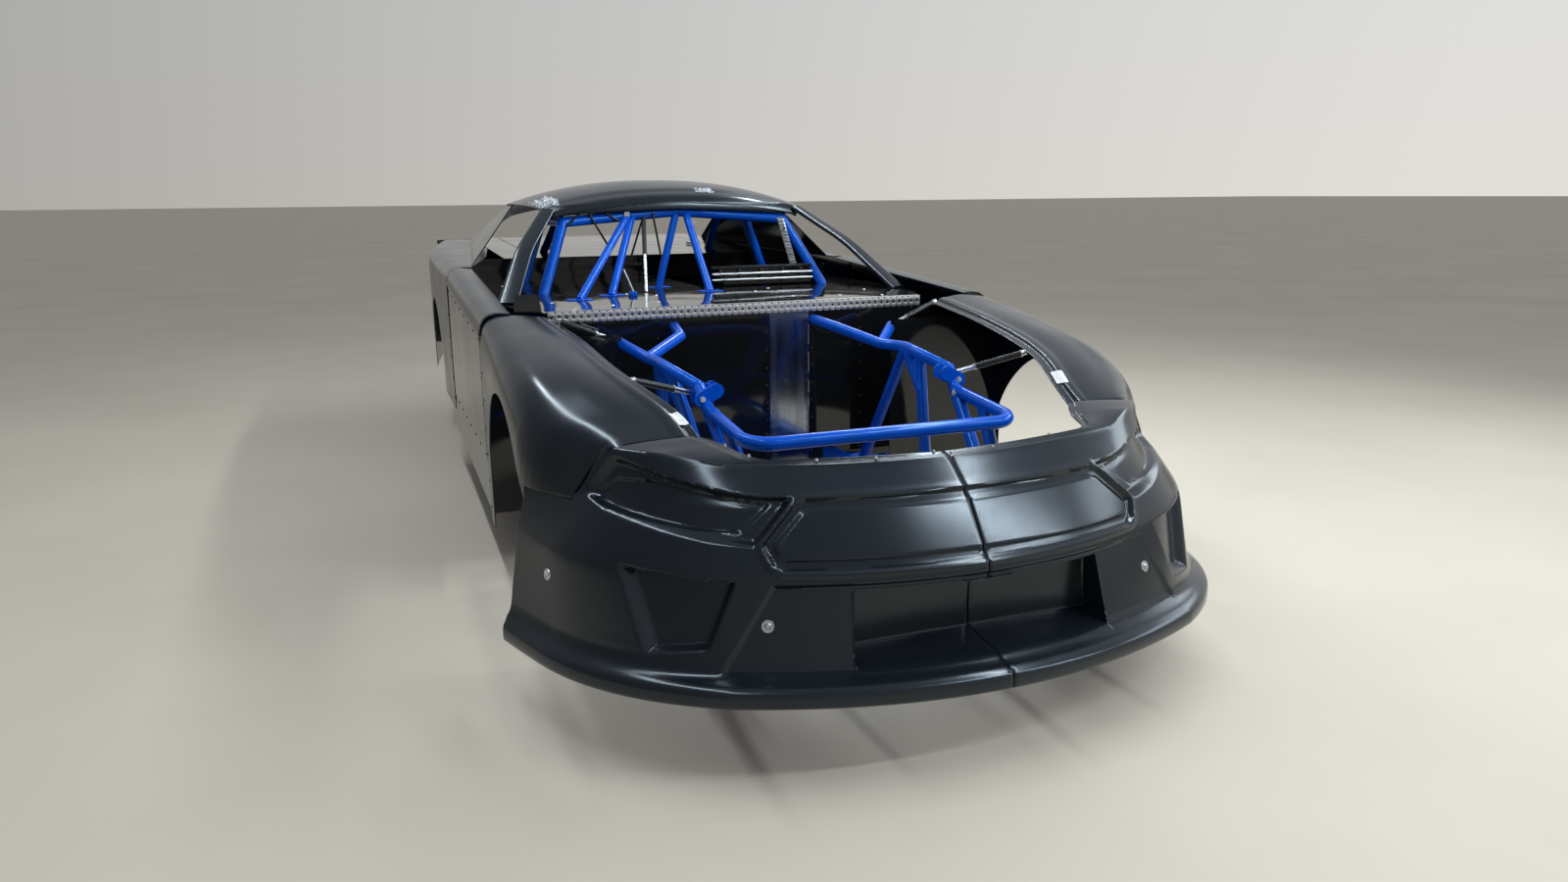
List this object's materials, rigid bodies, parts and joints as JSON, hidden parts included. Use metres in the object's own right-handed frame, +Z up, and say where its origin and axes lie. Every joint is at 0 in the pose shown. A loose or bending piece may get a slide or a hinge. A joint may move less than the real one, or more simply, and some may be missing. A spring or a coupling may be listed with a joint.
{
  "type": "stock car without wheels",
  "caption": "Late-model stock car under construction: moulded nose, fenders, roof and tail on a tube chassis with its roll cage, no hood, wheels or engine, standing on low stands.",
  "frame": {"origin": "on the floor under the middle of the car, at the bottom centre of its box", "axes": "+Z up, +Y towards the tail, +X towards the driver's side"},
  "size_m": [2.056, 4.95, 1.3338],
  "materials": {
    "moulded_body": "satin black moulded plastic with light scuffs",
    "black_sheet": "gloss black prefinished aluminium sheet",
    "blue_frame": "gloss royal blue powder coat",
    "bare_sheet": "bare brushed sheet",
    "steel_rod": "zinc plated rod",
    "stand_paint": "dark grey paint, worn"
  },
  "bodies": {
    "chassis": {"arm_brackets": "blue_frame", "bumper_bar": "blue_frame", "cowl_hoop": "blue_frame", "crossmembers": "blue_frame", "dash_panel": "black_sheet", "deck_edge_angle": "bare_sheet", "door_bars_left": "blue_frame", "door_bars_right": "blue_frame", "door_left": "black_sheet", "door_right": "black_sheet", "fender_braces_left": "steel_rod", "fender_braces_right": "steel_rod", "fender_left": "moulded_body", "fender_right": "moulded_body", "firewall_centre_panel": "bare_sheet", "firewall_left": "black_sheet", "firewall_right": "black_sheet", "floor_pan": "black_sheet", "frame_rails": "blue_frame", "front_hoop": "blue_frame", "halo_and_posts": "blue_frame", "interior_deck": "black_sheet", "lid_hinges": "steel_rod", "main_hoop": "blue_frame", "nose_left": "moulded_body", "nose_right": "moulded_body", "quarter_left": "moulded_body", "quarter_right": "moulded_body", "rear_bulkhead": "black_sheet", "rear_bumper_cover": "moulded_body", "rear_stays": "blue_frame", "rear_tray": "black_sheet", "rocker_panel_left": "black_sheet", "rocker_panel_right": "black_sheet", "roof": "moulded_body", "splash_panel_left": "black_sheet", "splash_panel_right": "black_sheet", "stands": "stand_paint", "tail_bar": "blue_frame", "upper_rails_left": "blue_frame", "upper_rails_right": "blue_frame", "windshield_bars": "blue_frame"},
    "deck_lid": {"deck_lid": "black_sheet"}
  },
  "joints": [
    {"name": "deck_lid_hinge", "type": "hinge", "parent": "chassis", "child": "deck_lid", "pos_m": [0, 1.482, 1.00514], "axis": [1, 0, 0], "range_deg": [0, 65]}
  ]
}
